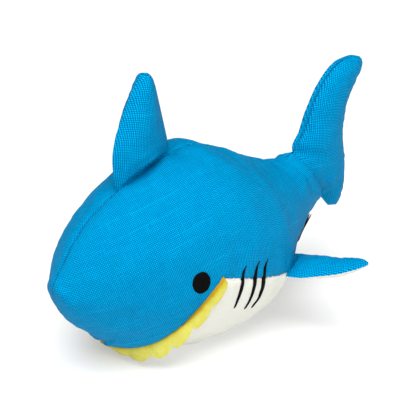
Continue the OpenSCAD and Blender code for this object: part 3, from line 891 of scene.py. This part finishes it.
def teeth():
    """The scalloped felt strip, sewn in behind the lip. It lies back under the chin and hangs
    down at the sides of the mouth."""
    per = 14
    count = TOOTH_COUNT * per
    fine = np.linspace(-1, 1, 801)
    t = lip_t(np.abs(fine))
    line = skin(t, np.sign(fine + 1e-9) * seam_angle(t - 1e-6))
    size = lengths(line[:, None], 0)[:, 0]
    place = np.linspace(0, size[-1], count + 1)
    q = np.interp(place, size, fine)
    base = np.stack([np.interp(place, size, line[:, k]) for k in range(3)], -1)
    n = skin_normal(lip_t(np.abs(q)), np.sign(q + 1e-9) * seam_angle(lip_t(np.abs(q)) - 1e-6))
    along = unit(np.gradient(base, axis=0))
    plumb = np.clip(2.4 * np.abs(q) - 0.45, 0, np.minimum(0.9, 2.5 - 2.1 * np.abs(q)))[:, None]
    way = unit((1 - plumb) * np.cross(along, n) - plumb * [0, 0, 1] + 0.1 * n)
    face = unit(np.cross(way, along))
    wave = np.abs(np.sin(np.arange(count + 1) * np.pi / per))
    longest = TOOTH_DEPTH * np.minimum(0.58 + 0.6 * np.abs(q), 2.47 - 2.1 * np.abs(q))
    depth = longest * (1 - TOOTH_NOTCH * (1 - np.sqrt(wave)))
    f = np.linspace(0, 1, 14)
    d = -2 + (depth[:, None] + 2) * f[None, :]
    lift = TOOTH_LIFT - 0.9 * np.clip(-d, 0, None) + 0.7 * wave[:, None] * np.sin(np.pi * f)
    p = base[:, None] + way[:, None] * d[..., None] + face[:, None] * lift[..., None]
    uv = np.stack([place[:, None] + 0 * d, d], -1)
    face = unit(np.cross(np.gradient(p, axis=1), np.gradient(p, axis=0)))
    face = np.where((face * n[:, None]).sum(-1, keepdims=True) < 0, -face, face)
    obj = cloth_sheet("teeth_felt", p, uv, YELLOW, face, inner=p - face * FELT)
    bevel = obj.modifiers.new("soft_edge", "BEVEL")
    bevel.width, bevel.segments = 0.55 * MM, 3
    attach(obj, "trunk")
    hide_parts("teeth_strip")


def stitches(name, ends, radius, node):
    """Short stitches of thread, each a bent capsule between two points."""
    ring, sides = 7, 8
    points, faces = [], []
    f = np.linspace(0, 1, ring)[:, None, None]
    turn = np.linspace(0, 2 * np.pi, sides, endpoint=False)[None, :, None]
    quads = np.array([[i * sides + j, i * sides + (j + 1) % sides,
                       (i + 1) * sides + (j + 1) % sides, (i + 1) * sides + j]
                      for i in range(ring - 1) for j in range(sides)])
    for k, (a, b, n) in enumerate(ends):
        across = unit(np.cross(unit(b - a), n))
        fat = radius * np.sqrt(np.maximum(1 - (2 * f - 1) ** 4, 0.02))
        mid = a + (b - a) * f + n * radius * 0.6 * np.sin(np.pi * f)
        points.append((mid + across * np.cos(turn) * fat + n * np.sin(turn) * fat).reshape(-1, 3))
        faces.append(quads + k * ring * sides)
    obj = make(name, np.vstack(points), np.vstack(faces), NAVY)
    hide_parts(node)
    return obj


def back_stitches():
    """The stitches that show in the back seam between the nose and the dorsal fin."""
    ends = []
    for i in range(27):
        t0 = 0.45 + i * 0.155
        pair = []
        for e in (0, 0.09):
            p, n = skin(t0 + e, 0.0), skin_normal(t0 + e, 0.0)
            pair.append(p - n * 0.4)
        ends.append((pair[0], pair[1], skin_normal(t0, 0.0)))
    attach(stitches("back_seam_stitches", ends, 0.42, "back_seam_thread"), "trunk")


def tail_stitches():
    """The topstitching along the tail's leading edge, on both sides."""
    count = 24
    low, high = TOPSTITCH_ROWS
    ends = []
    for k, panel in ((1, tail[0]), (-1, tail[1])):
        tree = surface([panel])
        for i in range(count):
            s = low + (high - low) * np.array([i, i + 0.62]) / count
            p = fin_plane(TAIL, s, np.full(2, TOPSTITCH))[0]
            n = np.broadcast_to(X * k, p.shape)
            p = p + n * (drop(tree, p, n) + 0.05)[:, None]
            ends.append((p[0], p[1], X * k))
    obj = stitches("tail_topstitches", ends, 0.28, "tail_topstitching")
    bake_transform(obj)


def label():
    """A blank woven label, folded once, its two ends sewn into the left seam."""
    a, b = LABEL_ENDS
    along = unit(b - a)
    hang = unit(np.cross(along, skin_normal(8.3, float(seam_angle(8.3)))))
    face = np.cross(along, hang)
    leaf, r = LABEL_LEAF, 0.35
    path = [hang * d + face * r for d in np.linspace(-1.2, leaf, 10)]
    path += [hang * (leaf + r * math.sin(e)) + face * r * math.cos(e)
             for e in np.radians((30, 60, 90, 120, 150))]
    path += [hang * d - face * r for d in np.linspace(leaf, -1.2, 10)]
    f = np.linspace(0, 1, 16)[None, :, None]
    p = a + (b - a) * f + np.array(path)[:, None]
    p = p + face * 0.25 * np.sin(f * 5)
    uv = np.stack([lengths(p, 1), lengths(p, 0)], -1)
    away = np.gradient(np.array(path), axis=0)
    away = np.cross(away, along)[:, None] + 0 * p
    obj = cloth_sheet("side_label_woven", p, uv, LABEL, away)
    obj.modifiers["thickness"].thickness = LABEL_CLOTH * MM
    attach(obj, "label")
    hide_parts("side_label")


for side in (1, -1):
    eye(side)
    gills(side)
teeth()
back_stitches()
tail_stitches()
label()


# ---------------------------------------------------------------- floor, light, camera
def floor():
    """A plain white floor that glows a little, so that it meets a white background."""
    mesh = bpy.data.meshes.new("floor")
    h = FLOOR_HALF
    mesh.from_pydata([(-h, -h, 0), (h, -h, 0), (h, h, 0), (-h, h, 0)], [], [(0, 1, 2, 3)])
    obj = bpy.data.objects.new("floor", mesh)
    bpy.context.scene.collection.objects.link(obj)
    n = Nodes("floor")
    n.set(Base_Color=(FLOOR_TONE, FLOOR_TONE, FLOOR_TONE, 1), Roughness=0.9,
          Specular_IOR_Level=0.0, Emission_Color=(1, 1, 1, 1), Emission_Strength=FLOOR_GLOW)
    mesh.materials.append(n.material)


def area_light(name, place, size, power):
    """A soft round lamp that shines on the shark."""
    data = bpy.data.lights.new(name, "AREA")
    data.shape, data.size, data.energy = "DISK", size, power
    obj = bpy.data.objects.new(name, data)
    bpy.context.scene.collection.objects.link(obj)
    obj.location = place
    look = Vector(LIGHT_TARGET) - Vector(place)
    obj.rotation_euler = look.to_track_quat("-Z", "Y").to_euler()


def studio():
    world = bpy.data.worlds.new("studio")
    world.use_nodes = True
    world.node_tree.nodes["Background"].inputs[0].default_value = (1, 1, 1, 1)
    world.node_tree.nodes["Background"].inputs[1].default_value = WORLD_LIGHT
    bpy.context.scene.world = world
    for light in LIGHTS:
        area_light(*light)
    bpy.context.scene.view_settings.view_transform = "Standard"


def camera():
    data = bpy.data.cameras.new("camera")
    data.lens, data.sensor_width = CAMERA_LENS, 36
    data.clip_start, data.clip_end = 0.05, 50
    obj = bpy.data.objects.new("camera", data)
    bpy.context.scene.collection.objects.link(obj)
    obj.location = CAMERA_PLACE
    look = Vector(CAMERA_TARGET) - obj.location
    obj.rotation_euler = look.to_track_quat("-Z", "Y").to_euler()
    bpy.context.scene.camera = obj


floor()
studio()
camera()
